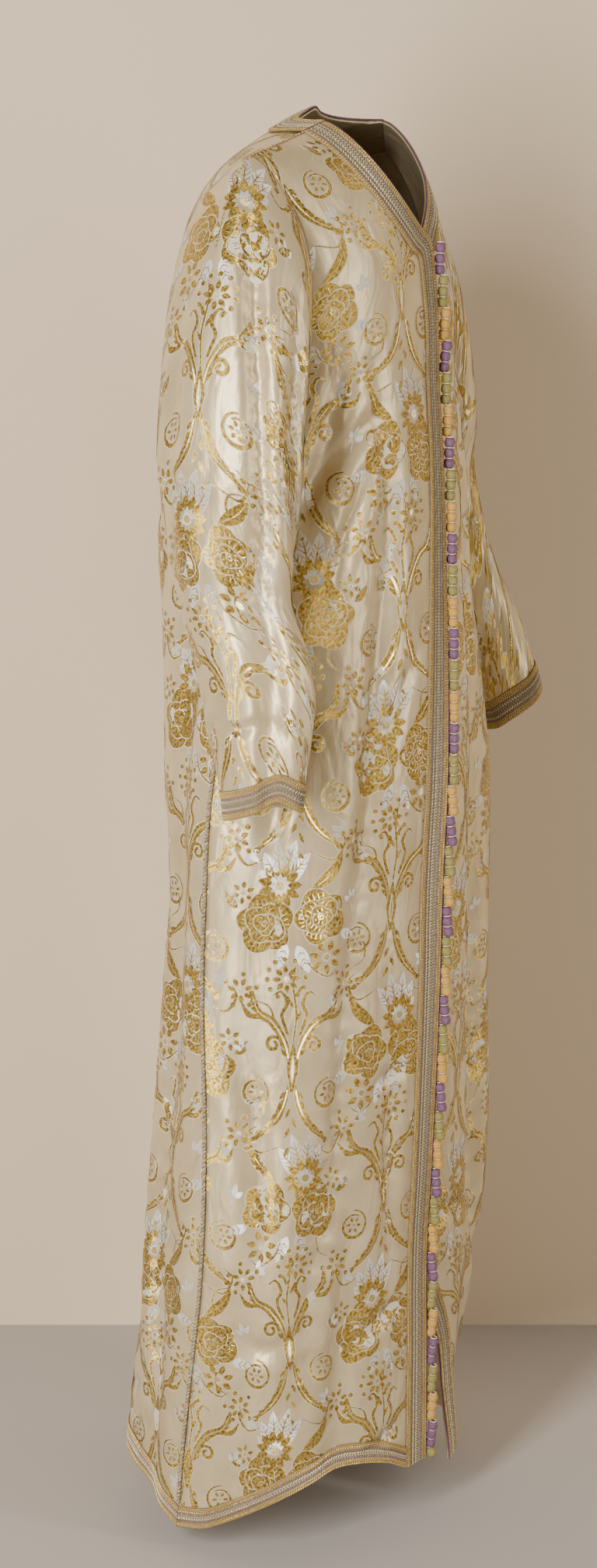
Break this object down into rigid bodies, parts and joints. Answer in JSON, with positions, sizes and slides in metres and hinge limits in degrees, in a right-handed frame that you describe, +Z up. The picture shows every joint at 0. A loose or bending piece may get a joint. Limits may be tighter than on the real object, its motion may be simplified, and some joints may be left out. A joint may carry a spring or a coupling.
{
  "type": "moroccan kaftan",
  "caption": "Floor-length front-closing kaftan in its worn form: brocade body and long sleeves, woven edge braid, side cords and a full-length row of knotted silk buttons.",
  "frame": {"origin": "middle of the neck at shoulder height, where the wearer holds the garment up", "axes": "+Z up; the garment faces -Y; the wearer's right is -X"},
  "size_m": [0.5652, 0.3528, 1.4385],
  "materials": {
    "brocade": "champagne satin brocade with metallic gold and silver-white flowers",
    "braid": "woven gold braid with silver, purple and green chevrons",
    "cord": "twisted gold and grey silk cord",
    "purple": "purple silk",
    "green": "olive-green silk",
    "gold": "golden-yellow silk"
  },
  "bodies": {
    "root": {"front_right": "brocade", "front_left": "brocade", "back": "brocade", "sleeve_right": "brocade", "sleeve_left": "brocade", "braid_right": "braid", "braid_left": "braid", "braid_back": "braid", "hem_braid_right": "braid", "hem_braid_left": "braid", "hem_braid_back": "braid", "cuff_braid_right": "braid", "cuff_braid_left": "braid", "seam_cord_right": "cord", "seam_cord_left": "cord", "knots_01": "purple", "knots_02": "green", "knots_03": "gold", "knots_04": "purple", "knots_05": "green", "knots_06": "gold", "knots_07": "purple", "knots_08": "green", "knots_09": "gold", "knots_10": "purple", "knots_11": "green", "knots_12": "gold", "knots_13": "purple", "knots_14": "green", "knots_15": "gold", "knots_16": "purple", "knots_17": "green", "knots_18": "gold", "knots_19": "purple", "knots_20": "green", "knots_21": "gold", "knots_22": "purple", "knots_23": "green", "knots_24": "gold", "knots_25": "purple", "knots_26": "green", "knots_27": "gold", "knots_28": "purple", "knots_29": "green", "knots_30": "gold", "knots_31": "purple", "knots_32": "green", "knots_33": "gold", "knots_34": "purple", "knots_35": "green", "knots_36": "gold", "knots_37": "purple", "knots_38": "green", "knots_39": "gold", "knots_40": "purple", "knots_41": "green"}
  },
  "joints": []
}
